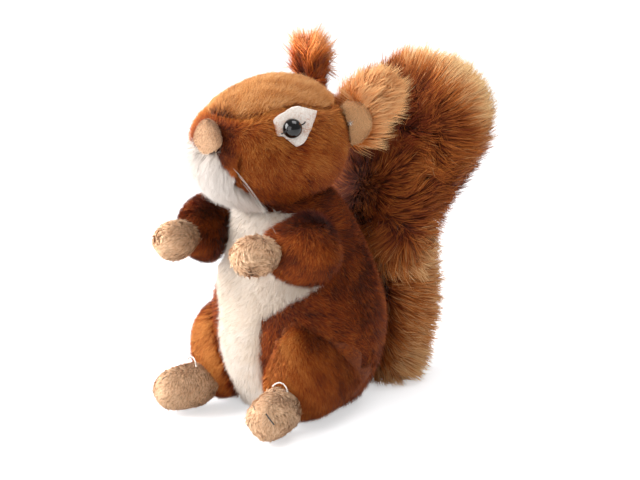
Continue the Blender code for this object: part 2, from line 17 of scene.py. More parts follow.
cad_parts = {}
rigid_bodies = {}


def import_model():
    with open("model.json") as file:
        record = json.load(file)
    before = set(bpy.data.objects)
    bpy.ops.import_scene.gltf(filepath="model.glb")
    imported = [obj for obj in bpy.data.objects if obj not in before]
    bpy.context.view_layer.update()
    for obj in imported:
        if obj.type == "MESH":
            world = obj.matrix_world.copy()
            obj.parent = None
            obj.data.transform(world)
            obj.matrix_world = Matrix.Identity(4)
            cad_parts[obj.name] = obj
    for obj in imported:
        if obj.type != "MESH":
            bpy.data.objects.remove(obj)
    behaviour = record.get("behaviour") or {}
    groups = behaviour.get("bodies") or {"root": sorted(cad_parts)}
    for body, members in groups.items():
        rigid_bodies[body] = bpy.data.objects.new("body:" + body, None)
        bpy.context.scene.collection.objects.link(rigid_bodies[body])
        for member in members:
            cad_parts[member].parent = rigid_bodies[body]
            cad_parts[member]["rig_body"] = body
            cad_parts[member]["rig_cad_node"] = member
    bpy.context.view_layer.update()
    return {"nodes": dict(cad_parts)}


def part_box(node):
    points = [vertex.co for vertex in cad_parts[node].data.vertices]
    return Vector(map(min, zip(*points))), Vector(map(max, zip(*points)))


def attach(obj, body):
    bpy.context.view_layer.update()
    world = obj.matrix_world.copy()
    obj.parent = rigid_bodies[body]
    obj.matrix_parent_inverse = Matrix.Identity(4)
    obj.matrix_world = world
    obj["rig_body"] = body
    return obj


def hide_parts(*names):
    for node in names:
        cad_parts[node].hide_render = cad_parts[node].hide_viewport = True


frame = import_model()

solids = frame["nodes"]

# %% [markdown]
# The camera stands where the photographer stood, a little above the squirrel and in front of its left
# shoulder. A long lens keeps the proportions flat, as in a studio picture. One pixel of the 640 by 480
# picture covers 0.45 mm at the toy, and the middle of the seat falls on pixel (300, 400).

# %% Camera
AZIMUTH = math.radians(45)
ELEVATION = math.radians(15)
CAMERA_AWAY = 1.1
PIXEL = 0.00045
PICTURE = (640, 480)
SEAT_PIXEL = (300, 400)
SENSOR = 36

backward = Vector((math.sin(AZIMUTH) * math.cos(ELEVATION), -math.cos(AZIMUTH) * math.cos(ELEVATION),
                   math.sin(ELEVATION)))
rightward = Vector((math.cos(AZIMUTH), math.sin(AZIMUTH), 0))
upward = backward.cross(rightward)
aim = (rightward * (PICTURE[0] / 2 - SEAT_PIXEL[0]) + upward * (SEAT_PIXEL[1] - PICTURE[1] / 2)) * PIXEL
camera_data = bpy.data.cameras.new("camera")
camera_data.sensor_width = SENSOR
camera_data.lens = SENSOR * CAMERA_AWAY / (PICTURE[0] * PIXEL)
camera = bpy.data.objects.new("camera", camera_data)
bpy.context.scene.collection.objects.link(camera)
camera.matrix_world = (Matrix.Translation(aim + backward * CAMERA_AWAY)
                       @ Matrix((rightward, upward, backward)).transposed().to_4x4())
bpy.context.scene.camera = camera
print("camera at", [round(v, 3) for v in camera.matrix_world.translation])
print("lens in mm", round(camera_data.lens, 1))

# %% [markdown]
# Every colour is written as it would be picked from a screen, and one function turns it into the linear
# values that the shaders work with. A second small function adds a node with its settings and links, so
# that a material reads as a list of what it is made of. Felt, thread, nylon and knitted backing are each
# a few shades in a fine pattern, most with bumps to match, so one function makes them all.

# %% Colour and node helpers
def linear(code, alpha=1.0):
    """A hex colour from the screen as linear light."""
    parts = [int(code[k:k + 2], 16) / 255 for k in (1, 3, 5)]
    return (*[v / 12.92 if v <= 0.04045 else ((v + 0.055) / 1.055) ** 2.4 for v in parts], alpha)


def add_node(tree, kind, links=None, **settings):
    """Add a node, set its properties and sockets by name, and feed its sockets from other nodes' outputs."""
    node = tree.nodes.new(kind)
    for name, value in settings.items():
        if hasattr(node, name):
            setattr(node, name, value)
        else:
            node.inputs[name.replace("_", " ")].default_value = value
    for socket, source in (links or {}).items():
        tree.links.new(source, node.inputs[socket])
    return node


def set_ramp(node, stops):
    """Give a Color Ramp its stops, as (position, hex colour) pairs."""
    ramp = node.color_ramp
    while len(ramp.elements) > 1:
        ramp.elements.remove(ramp.elements[-1])
    ramp.elements[0].position = stops[0][0]
    ramp.elements[0].color = linear(stops[0][1])
    for place, code in stops[1:]:
        ramp.elements.new(place).color = linear(code)
    return node


def new_material(name, **shader_values):
    """A material with its own Principled shader, and that shader's constant values."""
    made = bpy.data.materials.new(name)
    made.use_nodes = True
    shader = made.node_tree.nodes["Principled BSDF"]
    for socket, value in shader_values.items():
        shader.inputs[socket.replace("_", " ")].default_value = value
    return made, made.node_tree, shader


def patterned(name, kind, pattern, stops, strength=0.0, depth=0.0, **shader_values):
    """A material whose colour, and bump if it has any strength, follow one pattern laid on the object."""
    made, tree, shader = new_material(name, **shader_values)
    place = add_node(tree, "ShaderNodeTexCoord")
    figure = add_node(tree, kind, links={"Vector": place.outputs["Object"]}, **pattern)
    dye = set_ramp(add_node(tree, "ShaderNodeValToRGB", links={0: figure.outputs["Fac"]}), stops)
    tree.links.new(dye.outputs[0], shader.inputs["Base Color"])
    if strength:
        bump = add_node(tree, "ShaderNodeBump", links={"Height": figure.outputs["Fac"]}, Strength=strength,
                        Distance=depth)
        tree.links.new(bump.outputs[0], shader.inputs["Normal"])
    return made


# %% [markdown]
# The studio is a white sweep under soft light. The floor is a real surface, so that it takes the toy's
# shadow, and it is topped up to white only as seen straight on or in a polished surface. The toy is lit by
# the lamps and by a dim sky.

# %% Floor, world and lamps
FLOOR_SIZE = 6.0
FLOOR_DROP = 0.0002
TOY_MIDDLE = Vector((0, 0, 0.09))
FLOOR_TOP_UP = 0.55
SKY_LIGHT = 0.40

bpy.ops.mesh.primitive_plane_add(size=FLOOR_SIZE, location=(0, 0, -FLOOR_DROP))
floor = bpy.context.object
floor.name = "studio_floor"
paper, tree, shader = new_material("seamless_white_paper", Base_Color=linear("#dcdcde"), Roughness=0.9)
seen = add_node(tree, "ShaderNodeLightPath")
glow = add_node(tree, "ShaderNodeEmission", Color=(1, 1, 1, 1))
sight = add_node(tree, "ShaderNodeMath", operation="MAXIMUM",
                 links={0: seen.outputs["Is Camera Ray"], 1: seen.outputs["Is Glossy Ray"]})
top_up = add_node(tree, "ShaderNodeMath", operation="MULTIPLY", links={0: sight.outputs[0]})
top_up.inputs[1].default_value = FLOOR_TOP_UP
tree.links.new(top_up.outputs[0], glow.inputs["Strength"])
both = add_node(tree, "ShaderNodeAddShader", links={0: shader.outputs[0], 1: glow.outputs[0]})
tree.links.new(both.outputs[0], tree.nodes["Material Output"].inputs["Surface"])
floor.data.materials.append(paper)

world = bpy.data.worlds.new("white_sweep")
world.use_nodes = True
bpy.context.scene.world = world
tree = world.node_tree
seen = add_node(tree, "ShaderNodeLightPath")
direct = add_node(tree, "ShaderNodeMath", operation="MAXIMUM",
                  links={0: seen.outputs["Is Camera Ray"], 1: seen.outputs["Is Transmission Ray"]})
strength = add_node(tree, "ShaderNodeMapRange", links={"Value": direct.outputs[0]},
                    To_Min=SKY_LIGHT, To_Max=1.0)
tree.nodes["Background"].inputs["Color"].default_value = (1, 1, 1, 1)
tree.links.new(strength.outputs[0], tree.nodes["Background"].inputs["Strength"])
bpy.context.scene.view_settings.view_transform = "Standard"


def softbox(name, place, size, watts):
    """A square soft lamp that faces the middle of the toy."""
    data = bpy.data.lights.new(name, "AREA")
    data.size = size
    data.energy = watts
    lamp = bpy.data.objects.new(name, data)
    bpy.context.scene.collection.objects.link(lamp)
    turn = (Vector(place) - TOY_MIDDLE).to_track_quat("Z", "Y")
    lamp.matrix_world = Matrix.Translation(place) @ turn.to_matrix().to_4x4()
    return lamp


softbox("key_softbox", (-0.80, -0.95, 0.66), 1.0, 34.0)
softbox("fill_softbox", (0.30, -1.30, 0.40), 1.0, 8.0)
softbox("top_softbox", (0.20, 0.30, 1.3), 0.8, 10.0)
print("stage set")

# %% [markdown]
# A stuffed piece starts as its own solid. A copy of the solid's mesh is merged, since it comes as loose
# triangles, and remeshed to even faces, so that cloth can move. It is drawn in by the depth of its pile,
# because the solid gives the outside of the fur and not the cloth under it. Then the stuffed pieces are
# blown up together by a cloth simulation with a little pressure inside, and no point may move further than
# a millimetre or so: that rounds the cut edges of the seams and puckers the cloth between them.

# %% Backing cloth
PRESSURE = 4.0
STUFFING_FRAMES = 20
MERGE = 0.00001
OFF_GROUND = 0.0006
STUFFED_OFF_GROUND = 0.0004


def select_only(piece):
    """Deselect everything, then make one piece the selected and the active one."""
    bpy.ops.object.select_all(action="DESELECT")
    piece.select_set(True)
    bpy.context.view_layer.objects.active = piece


def copy_of(node, name):
    """A merged copy of a solid's mesh as a new object."""
    select_only(solids[node])
    bpy.ops.object.duplicate()
    piece = bpy.context.object
    piece.name = name
    piece.parent = None
    piece.data = piece.data.copy()
    piece.data.name = name
    piece.data.materials.clear()
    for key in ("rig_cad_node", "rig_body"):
        if key in piece:
            del piece[key]
    bpy.ops.object.mode_set(mode="EDIT")
    bpy.ops.mesh.select_all(action="SELECT")
    bpy.ops.mesh.remove_doubles(threshold=MERGE)
    bpy.ops.mesh.customdata_custom_splitnormals_clear()
    bpy.ops.object.mode_set(mode="OBJECT")
    return piece


def apply_all(piece):
    """Apply every modifier of a piece, in order."""
    select_only(piece)
    for change in list(piece.modifiers):
        bpy.ops.object.modifier_apply(modifier=change.name)


def points_of(piece):
    """The places of a piece's vertices as an array."""
    places = np.empty(len(piece.data.vertices) * 3)
    piece.data.vertices.foreach_get("co", places)
    return places.reshape(-1, 3)


def normals_of(piece):
    """The outward directions at a piece's vertices as an array."""
    turns = np.empty(len(piece.data.vertices) * 3)
    piece.data.vertices.foreach_get("normal", turns)
    return turns.reshape(-1, 3)


def box_of(node):
    """The low and the high corner of a solid's box as arrays."""
    return [np.array(corner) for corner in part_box(node)]


def tree_on(piece):
    """A search tree of a piece's faces."""
    mesh = piece.data
    return BVHTree.FromPolygons([v.co for v in mesh.vertices], [p.vertices for p in mesh.polygons])


def remeshed(piece, voxel, rounds):
    """The piece with even faces of one size; any rounds of smoothing come after."""
    remesh = piece.modifiers.new("even", "REMESH")
    remesh.mode = "VOXEL"
    remesh.voxel_size = voxel
    if rounds:
        piece.modifiers.new("relax", "SMOOTH").iterations = rounds
    apply_all(piece)
    return piece


def set_points(piece, places):
    """Move a piece's vertices to new places."""
    piece.data.vertices.foreach_set("co", np.ascontiguousarray(places, dtype=np.float32).ravel())
    piece.data.update()


def backing(node, voxel, draw_in, rounds):
    """The backing cloth of one stuffed piece, drawn in by the depth of its pile."""
    piece = remeshed(copy_of(node, node + "_cloth"), voxel, rounds)
    set_points(piece, points_of(piece) - normals_of(piece) * draw_in)
    places = points_of(piece)
    places[:, 2] = np.maximum(places[:, 2], OFF_GROUND)
    set_points(piece, places)
    bpy.ops.object.shade_smooth()
    return piece


def stuff(pieces, give):
    """Blow all the pieces up at once with cloth under pressure, and cap how far any point may move."""
    scene = bpy.context.scene
    starts = {}
    for piece in pieces:
        cloth = piece.modifiers.new("stuffing", "CLOTH")
        cloth.settings.use_pressure = True
        cloth.settings.uniform_pressure_force = PRESSURE
        cloth.settings.effector_weights.gravity = 0
        cloth.settings.quality = 4
        cloth.point_cache.frame_start = 1
        cloth.point_cache.frame_end = STUFFING_FRAMES
        starts[piece.name] = points_of(piece)
    for number in range(1, STUFFING_FRAMES + 1):
        scene.frame_set(number)
    for piece in pieces:
        blown = points_of(piece.evaluated_get(bpy.context.evaluated_depsgraph_get()))
        move = blown - starts[piece.name]
        far = np.linalg.norm(move, axis=1, keepdims=True)
        move *= np.minimum(1.0, give / np.maximum(far, 1e-9))
        piece.modifiers.clear()
        places = starts[piece.name] + move
        places[:, 2] = np.maximum(places[:, 2], STUFFED_OFF_GROUND)
        set_points(piece, places)
    scene.frame_set(1)


# the cell size of each piece's cloth and the depth of its pile, in metres
CLOTHS = {
    "body": (0.0030, 0.0022), "head": (0.0024, 0.0022), "haunch_L": (0.0028, 0.0022),
    "haunch_R": (0.0028, 0.0022), "arm_L": (0.0022, 0.0022), "arm_R": (0.0022, 0.0022),
    "tail": (0.0030, 0.0060), "ear_L": (0.0013, 0.0046), "ear_R": (0.0013, 0.0044),
    "hand_L": (0.0011, 0.0011), "hand_R": (0.0011, 0.0011), "foot_L": (0.0012, 0.0013),
    "foot_R": (0.0012, 0.0015), "nose": (0.0010, 0.0003), "inner_ear_L": (0.0010, 0.0003),
    "inner_ear_R": (0.0010, 0.0003), "crown_panel": (0.0010, 0.0006), "muzzle": (0.0010, 0.0006),
    "belly_panel": (0.0010, 0.0006),
}
PANELS = {"crown_panel": "head", "muzzle": "head", "belly_panel": "body"}
PANEL_SINK = 0.0016
# what each piece is sewn to: its edge is tucked into that piece, so that no lip of cloth stands up
SEWN_TO = {"haunch_L": "body", "haunch_R": "body", "arm_L": "body", "arm_R": "body", "tail": "body",
           "ear_L": "head", "ear_R": "head", "foot_L": "haunch_L", "foot_R": "haunch_R",
           "hand_L": "arm_L", "hand_R": "arm_R"}
TUCK = 0.0052
TUCK_REACH = 0.0062
STUFFED = "body head haunch_L haunch_R arm_L arm_R tail hand_L hand_R foot_L foot_R nose".split()
GIVE = 0.0009
SIDES = (("L", 1), ("R", -1))


def outward(node, piece):
    """The way out of a piece at each vertex: straight out from the middle of the head or the body."""
    host = PANELS.get(node, node)
    if host not in ("head", "body"):
        return normals_of(piece)
    low, high = box_of(host)
    away = points_of(piece) - (low + high) / 2
    if host == "body":
        away[:, 2] = 0
    return away / np.linalg.norm(away, axis=1, keepdims=True)


def tuck(piece, host):
    """Push the parts of a cloth that lie close to the piece it is sewn to into that piece."""
    places = points_of(piece)
    for k, place in enumerate(places):
        _, way_out, _, far = trees[host].find_nearest(Vector(place))
        if far < TUCK_REACH:
            places[k] -= np.array(way_out) * TUCK * (1 - far / TUCK_REACH)
    set_points(piece, places)


trees = {node: tree_on(solids[node]) for node in (*CLOTHS, "eye_patch_L", "eye_patch_R")}
SMOOTHING, PAW_SMOOTHING = 4, 14
cloths = {node: backing(node, *sizes, PAW_SMOOTHING if node.startswith(("hand", "foot")) else SMOOTHING)
          for node, sizes in CLOTHS.items()}
for node in PANELS:
    set_points(cloths[node], points_of(cloths[node]) - outward(node, cloths[node]) * PANEL_SINK)
stuff([cloths[node] for node in STUFFED], GIVE)

# the plume's top is only long fibres
TOP_FROM = 0.108
TOP_OVER = 0.030
TOP_DROP = 0.0050
places = points_of(cloths["tail"])
places[:, 2] -= TOP_DROP * np.clip((places[:, 2] - TOP_FROM) / TOP_OVER, 0, 1)
set_points(cloths["tail"], places)

# the nose is a soft wedge, narrow at the top and full below: its width at three heights
NOSE_SWELL = 1.04
NOSE_HEIGHTS = [-1.0, -0.2, 1.0]
NOSE_WIDTHS = [0.80, 0.96, 0.60]
places = points_of(cloths["nose"])
low, high = places.min(axis=0), places.max(axis=0)
middle, half = (low + high) / 2, (high - low) / 2
way = (places - middle) / half
way /= np.linalg.norm(way, axis=1, keepdims=True)
round_form = middle + way * half * NOSE_SWELL
share = np.interp(way[:, 2], NOSE_HEIGHTS, NOSE_WIDTHS)
round_form[:, 0] = middle[0] + (round_form[:, 0] - middle[0]) * share
set_points(cloths["nose"], round_form)

# the far ear stands on a narrow stalk: its width at three shares of its height
STALK_HEIGHTS = [0.0, 0.45, 0.8]
STALK_WIDTHS = [0.45, 0.55, 0.95]
places = points_of(cloths["ear_R"])
low, high = places.min(axis=0), places.max(axis=0)
slim = np.interp((places[:, 2] - low[2]) / (high[2] - low[2]), STALK_HEIGHTS, STALK_WIDTHS)
middle = (low + high) / 2
places[:, :2] = middle[:2] + (places[:, :2] - middle[:2]) * slim[:, None]
set_points(cloths["ear_R"], places)

for node, piece in cloths.items():
    if node in SEWN_TO:
        tuck(piece, SEWN_TO[node])
    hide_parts(node)
    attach(piece, "root")
print("backing faces:", sum(len(p.data.polygons) for p in cloths.values()))

# %% [markdown]
# Pile is thousands of fibres, and each is modelled as a narrow blade: a root, a bend and a fine tip. A
# blade lies flat along the cloth, so that it catches the light as the whole coat does. The roots are
# spread at random over the cloth, weighted by area, and no fibre grows where two pieces are sewn together.
# The comb is a function that gives the way the fibres are brushed at any place. A slow random drift turns
# it here and there, and the tips are drawn together into locks, most of all in long pile.
# Each blade's place on its map gives its colour: across the map from dark to light fibres, and up the map
# from root to tip.

# %% Fibres
TONE_FROM = 0.04
TONE_SPAN = 0.22
BLADE_ON_MAP = 0.0030
ROOT_ON_MAP = 0.04
LENGTH_ON_MAP = 0.22
# a blade's width at four shares of its length
BLADE_SHARES = [0, 0.35, 0.75, 1]
BLADE_WIDTHS = [0.85, 1.0, 0.7, 0.0]


def drift(places, reach, seed, waves=10):
    """Smooth random directions over space that change over about the given reach."""
    dice = np.random.default_rng(seed)
    beat = dice.normal(size=(waves, 3, 3)) / reach
    phase = dice.uniform(0, 2 * math.pi, size=(waves, 3))
    total = np.zeros((len(places), 3))
    for k in range(waves):
        total += np.sin(places @ beat[k].T + phase[k])
    return total / math.sqrt(waves / 2)


def unit(rows):
    """Each row scaled to length one."""
    return rows / np.maximum(np.linalg.norm(rows, axis=1, keepdims=True), 1e-12)


PROBE_WAY = Vector((0.31, 0.52, 0.80)).normalized()
MOST_CROSSINGS = 20
PAST_FACE = 1e-6
TURNED_UNDER = 0.25


def inside(tree, place):
    """Whether a place lies inside a closed solid: a line from it crosses an odd number of faces."""
    crossings = 0
    while crossings < MOST_CROSSINGS:
        hit = tree.ray_cast(place, PROBE_WAY)[0]
        if hit is None:
            break
        crossings += 1
        place = hit + PROBE_WAY * PAST_FACE
    return crossings % 2 == 1


def open_share(piece, node, probe, sewn_on=False, skip=()):
    """For each vertex of a cloth, 0 where another piece covers it and 1 where it lies open.

    With sewn_on, the pieces sewn to it don't count as covers, so its pile runs on below their tucked edges.
    """
    ways = outward(node, piece)
    feelers = points_of(piece) + ways * probe
    open_to = np.ones(len(feelers))
    if node in PANELS:
        open_to[(normals_of(piece) * ways).sum(axis=1) < TURNED_UNDER] = 0.0
    for other, tree in trees.items():
        if (other == node or other.startswith("eye_patch") or other in skip
                or (sewn_on and SEWN_TO.get(other) == node)):
            continue
        low, high = box_of(other)
        for k in np.nonzero(((feelers > low) & (feelers < high)).all(axis=1) & (open_to > 0))[0]:
            if inside(tree, Vector(feelers[k])):
                open_to[k] = 0.0
    return open_to


def seam_nearness(piece, neighbours, reach):
    """For each vertex of a cloth, 1 at a seam with one of the neighbours, falling to 0 at the reach."""
    places = points_of(piece)
    nearness = np.zeros(len(places))
    for other in neighbours:
        for k in range(len(places)):
            _, _, _, far = trees[other].find_nearest(Vector(places[k]))
            nearness[k] = max(nearness[k], 1 - min(far / reach, 1.0))
    return nearness


def calm_normals(piece, open_to, rounds):
    """The normals of a cloth's open skin, evened out so that its turned-in edge throws no fibre outwards."""
    turns = normals_of(piece)
    if not rounds:
        return turns
    pairs = np.empty(len(piece.data.edges) * 2, dtype=np.int32)
    piece.data.edges.foreach_get("vertices", pairs)
    one, two = pairs.reshape(-1, 2).T
    lying_open = (open_to > 0)[:, None]
    for _ in range(rounds):
        total = turns * lying_open
        step = total.copy()
        np.add.at(total, one, step[two])
        np.add.at(total, two, step[one])
        turns = np.where(lying_open, unit(total), turns)
    return turns


def scatter(piece, count, seed, fields, calm):
    """Random places on a cloth, spread by area and by the open field, with their directions and fields."""
    dice = np.random.default_rng(seed)
    mesh = piece.data
    mesh.calc_loop_triangles()
    corners = np.empty(len(mesh.loop_triangles) * 3, dtype=np.int32)
    mesh.loop_triangles.foreach_get("vertices", corners)
    corners = corners.reshape(-1, 3)
    places, turns = points_of(piece), calm_normals(piece, fields["open"], calm)
    a, b, c = (places[corners[:, k]] for k in range(3))
    area = np.linalg.norm(np.cross(b - a, c - a), axis=1) * fields["open"][corners].mean(axis=1)
    pick = dice.choice(len(corners), size=count, p=area / area.sum())
    u, v = dice.random(count), dice.random(count)
    over = u + v > 1
    u[over], v[over] = 1 - u[over], 1 - v[over]
    share = np.stack([1 - u - v, u, v], axis=1)
    roots = (places[corners[pick]] * share[:, :, None]).sum(axis=1)
    facing = unit((turns[corners[pick]] * share[:, :, None]).sum(axis=1))
    there = {name: (values[corners[pick]] * share).sum(axis=1) for name, values in fields.items()}
    return roots, facing, there, dice


def locks_of(roots, per_lock, dice):
    """For each fibre, the number of the fibre in the middle of its lock."""
    heads = dice.choice(len(roots), size=max(1, len(roots) // per_lock), replace=False)
    finder = KDTree(len(heads))
    for k, head in enumerate(heads):
        finder.insert(roots[head], k)
    finder.balance()
    return np.array([heads[finder.find(place)[1]] for place in roots])


def blades(name, line, across, width, tone, facing, softness):
    """One mesh of all the fibres: line holds each fibre's places from root to tip.

    Softness turns the blades' shading from each blade's own face towards the coat's face, as in dense pile,
    where light is scattered from fibre to fibre.
    """
    count, steps = line.shape[0], line.shape[1] - 1
    shares = np.linspace(0, 1, steps + 1)
    taper = np.interp(shares, BLADE_SHARES, BLADE_WIDTHS)
    half = across * (width / 2)[:, None]
    per = 2 * steps + 1
    places = np.empty((count, per, 3))
    for s in range(steps):
        places[:, 2 * s] = line[:, s] - half * taper[s]
        places[:, 2 * s + 1] = line[:, s] + half * taper[s]
    places[:, -1] = line[:, -1]
    first = (np.arange(count) * per)[:, None]
    quads = [first + np.array([[2 * s, 2 * s + 1, 2 * s + 3, 2 * s + 2]]) for s in range(steps - 1)]
    tip = first + np.array([[per - 3, per - 2, per - 1]])
    loops = np.concatenate([*quads, tip], axis=1).ravel()
    sizes = np.tile([4] * (steps - 1) + [3], count)
    mesh = bpy.data.meshes.new(name)
    mesh.vertices.add(count * per)
    mesh.vertices.foreach_set("co", places.astype(np.float32).ravel())
    mesh.loops.add(len(loops))
    mesh.loops.foreach_set("vertex_index", loops.astype(np.int32))
    mesh.polygons.add(len(sizes))
    starts = np.concatenate([[0], np.cumsum(sizes)[:-1]])
    mesh.polygons.foreach_set("loop_start", starts.astype(np.int32))
    side = np.where(np.arange(per) % 2 == 0, -0.5, 0.5)
    side[-1] = 0.0
    level = np.repeat(shares[:steps], 2).tolist() + [1.0]
    on_map = np.empty((count, per, 2))
    on_map[:, :, 0] = TONE_FROM + TONE_SPAN * tone[:, None] + BLADE_ON_MAP * side[None, :]
    on_map[:, :, 1] = ROOT_ON_MAP + LENGTH_ON_MAP * np.array(level)[None, :]
    mesh.update(calc_edges=True)
    mesh.uv_layers.new(name="OFBake")
    mesh.uv_layers["OFBake"].data.foreach_set("uv", on_map.reshape(-1, 2)[loops].astype(np.float32).ravel())
    mesh.shade_smooth()
    own = unit(np.cross(across, line[:, -1] - line[:, 0]))
    own *= np.sign((own * facing).sum(axis=1, keepdims=True) + 1e-9)
    coat = unit(own * (1 - softness) + facing * softness)
    mesh.normals_split_custom_set_from_vertices(np.repeat(coat, per, axis=0).astype(np.float32))
    piece = bpy.data.objects.new(name, mesh)
    bpy.context.scene.collection.objects.link(piece)
    return piece


# how unevenly the fibres stand, how many are strays that stand up and out, and how far a blade is rolled
LEAN_SPREAD = 0.12
STRAYS = 0.16
STRAY_LEAN = 0.6
STRAY_LENGTH = 1.25
WIDTH_SPREAD = 0.25
TWIST = 0.6
# how far a bent fibre dips, how much the bend adds to its length, and how sharply a lock closes to its tip
DIP = 0.25
BEND_LENGTH = 0.5
LOCK_POWER = 1.4
LOWEST_FIBRE = 0.0002
# fine clouds of tone in the dye
CLOUD_REACH = 0.0025
CLOUD_DEPTH = 0.07


def grow(node, name, count, length, width, comb, lean, tone, seed, fields, look, slot, bend=0.35,
         jitter=0.30, swirl=0.35, swirl_reach=0.010, per_lock=9, lock=0.22, steps=1, spread=0.22,
         softness=0.7, calm=2, mottle=0.17):
    """Grow the pile of one piece. Lean is the angle from the cloth's normal; comb and tone are functions."""
    roots, facing, there, dice = scatter(cloths[node], count, seed, fields, calm)
    way = comb(roots, facing)
    flat = unit(way - facing * (way * facing).sum(axis=1, keepdims=True))
    swirls = swirl(roots)[:, None] if callable(swirl) else swirl
    stray = drift(roots, swirl_reach, seed + 1) * swirls + dice.normal(size=roots.shape) * jitter
    flat = unit(flat + stray - facing * (stray * facing).sum(axis=1, keepdims=True))
    stands_out = dice.random(count) < STRAYS
    tilt = (lean + dice.normal(size=count) * LEAN_SPREAD) * np.where(stands_out, STRAY_LEAN, 1.0)
    start = facing * np.cos(tilt)[:, None] + flat * np.sin(tilt)[:, None]
    reach = length(roots, there) if callable(length) else np.full(count, length)
    reach = reach * (1 + dice.uniform(-spread, spread, size=count))
    reach = reach * np.where(stands_out, STRAY_LENGTH, 1.0)
    line = np.empty((count, steps + 1, 3))
    for s in range(steps + 1):
        run = s / steps
        fall = (flat - facing * DIP) * bend * run**2
        line[:, s] = roots + (start * run + fall) * reach[:, None] / (1 + BEND_LENGTH * bend)
    if per_lock:
        head = locks_of(roots, per_lock, dice)
        for s in range(1, steps + 1):
            line[:, s] += (line[head, s] - line[:, s]) * lock * (s / steps) ** LOCK_POWER
    line[:, :, 2] = np.maximum(line[:, :, 2], LOWEST_FIBRE)
    along = unit(line[:, -1] - line[:, 0])
    side = unit(np.cross(along, facing))
    up = np.cross(side, along)
    roll = dice.normal(size=count) * TWIST
    across = side * np.cos(roll)[:, None] + up * np.sin(roll)[:, None]
    shade = tone(roots, facing, there) + dice.normal(size=count) * mottle
    shade += drift(roots, CLOUD_REACH, seed + 2)[:, 0] * CLOUD_DEPTH
    made = blades(name, line, across, width * (1 + dice.uniform(-WIDTH_SPREAD, WIDTH_SPREAD, size=count)),
                  np.clip(shade, 0, 1), facing, softness)
    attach(made, "root")
    made.data.materials.append(look)
    print(name, "fibres", count, "triangles", count * (2 * steps - 1))


# %% [markdown]
# The toy's long and short pile is acrylic: fine, softly shining fibres, dyed through. Their tips are paler
# than their roots, partly because they are bleached and partly as painted light shining through the tips
# against the light. Two ramps hold the dyes, one for the roots and one for the tips, each from the darkest
# fibre to the palest, and the fibre's length mixes them. A little sheen gives the soft rim that plush shows
# against the light.

# %% Pile material
# where three or four shades stand between the darkest fibre and the palest
TONES = {3: (0.0, 0.5, 1.0), 4: (0.0, 0.12, 0.5, 1.0)}


def pile_material(name, roots, tips, sheen=0.12, turn=(0.15, 0.95)):
    """Dyed pile: each fibre's place on its map says how dark it is and how far from its root."""
    made, tree, shader = new_material(name, Roughness=0.62, Specular_IOR_Level=0.15,
                                      Sheen_Weight=sheen, Sheen_Roughness=0.45)
    place = add_node(tree, "ShaderNodeUVMap", uv_map="OFBake")
    split = add_node(tree, "ShaderNodeSeparateXYZ", links={0: place.outputs[0]})
    tone = add_node(tree, "ShaderNodeMapRange", links={"Value": split.outputs[0]},
                    From_Min=TONE_FROM, From_Max=TONE_FROM + TONE_SPAN)
    near, far = (ROOT_ON_MAP + LENGTH_ON_MAP * share for share in turn)
    run = add_node(tree, "ShaderNodeMapRange", links={"Value": split.outputs[1]},
                   From_Min=near, From_Max=far, interpolation_type="SMOOTHSTEP")
    low, high = (set_ramp(add_node(tree, "ShaderNodeValToRGB", links={0: tone.outputs[0]}),
                          list(zip(TONES[len(codes.split())], codes.split()))) for codes in (roots, tips))
    dye = add_node(tree, "ShaderNodeMix", data_type="RGBA",
                   links={0: run.outputs[0], 6: low.outputs[0], 7: high.outputs[0]})
    tree.links.new(dye.outputs[2], shader.inputs["Base Color"])
    return made


def backing_material(name, dark, light, scale=900):
    """Knitted backing: two shades of the dye, in loops about a millimetre apart that stand up a little."""
    return patterned(name, "ShaderNodeTexNoise", {"Scale": scale, "Detail": 3.0},
                     [(0.3, dark), (0.7, light)], 0.6, 0.0004, Roughness=0.9)


# the tips' ramps are partly bleached fibre and partly painted light shining through the tips
rust_pile = pile_material("acrylic_pile_rust", "#1c0a04 #380d01 #7d2a03 #b45a1a",
                          "#3a1f12 #6c2203 #bb5b18 #e69d50", sheen=0.05)
golden_pile = pile_material("acrylic_pile_golden", "#2a160b #702d07 #ab5f27 #d29353",
                            "#4a2d1b #ac591d #d89553 #f2c990")
cream_pile = pile_material("acrylic_pile_cream", "#c7ae94 #d8c5b1 #e2d6c9", "#d8c3ab #e4d5c4 #ece3da")
white_pile = pile_material("acrylic_pile_white", "#b5a598 #cabdb2 #d6ccc3", "#cabcb0 #dcd2c9 #e4dcd5")
tail_pile = pile_material("acrylic_long_pile_rust", "#330b01 #853206 #bb6522",
                          "#803009 #d47a30 #ffd89c", turn=(0.15, 1.0))
tuft_pile = pile_material("acrylic_long_pile_orange", "#6f2906 #c4590f #e27f30",
                          "#b85616 #ff9a42 #ffd094", turn=(0.2, 1.0))
velour_nap = pile_material("polyester_velour_beige", "#5f3a22 #c3926b #dab089",
                           "#8d6040 #e6bb92 #f5d4b0")
lining_nap = pile_material("polyester_velour_lining", "#a06a44 #cb935f #dfa873",
                           "#cc9362 #f6bc84 #ffd49e")

rust_cloth = backing_material("knitted_backing_rust", "#5a2206", "#84400f")
golden_cloth = backing_material("knitted_backing_golden", "#7c451c", "#a5673a")
pale_cloth = backing_material("knitted_backing_pale", "#cdb59c", "#e8d8c6")
velour_cloth = backing_material("polyester_velour_ground", "#ab8466", "#cba585", scale=1400)

CLOTH_LOOKS = {
    "rust_pile": (rust_cloth, "body head haunch_L haunch_R arm_L arm_R"),
    "tail_pile": (rust_cloth, "tail"), "ear_pile": (rust_cloth, "ear_L ear_R"),
    "golden_pile": (golden_cloth, "crown_panel"), "white_pile": (pale_cloth, "muzzle"),
    "cream_pile": (pale_cloth, "belly_panel"),
    "velour": (velour_cloth, "hand_L hand_R foot_L foot_R nose inner_ear_L inner_ear_R"),
}
for slot_name, (look, nodes) in CLOTH_LOOKS.items():
    for node in nodes.split():
        cloths[node].data.materials.clear()
        cloths[node].data.materials.append(look)

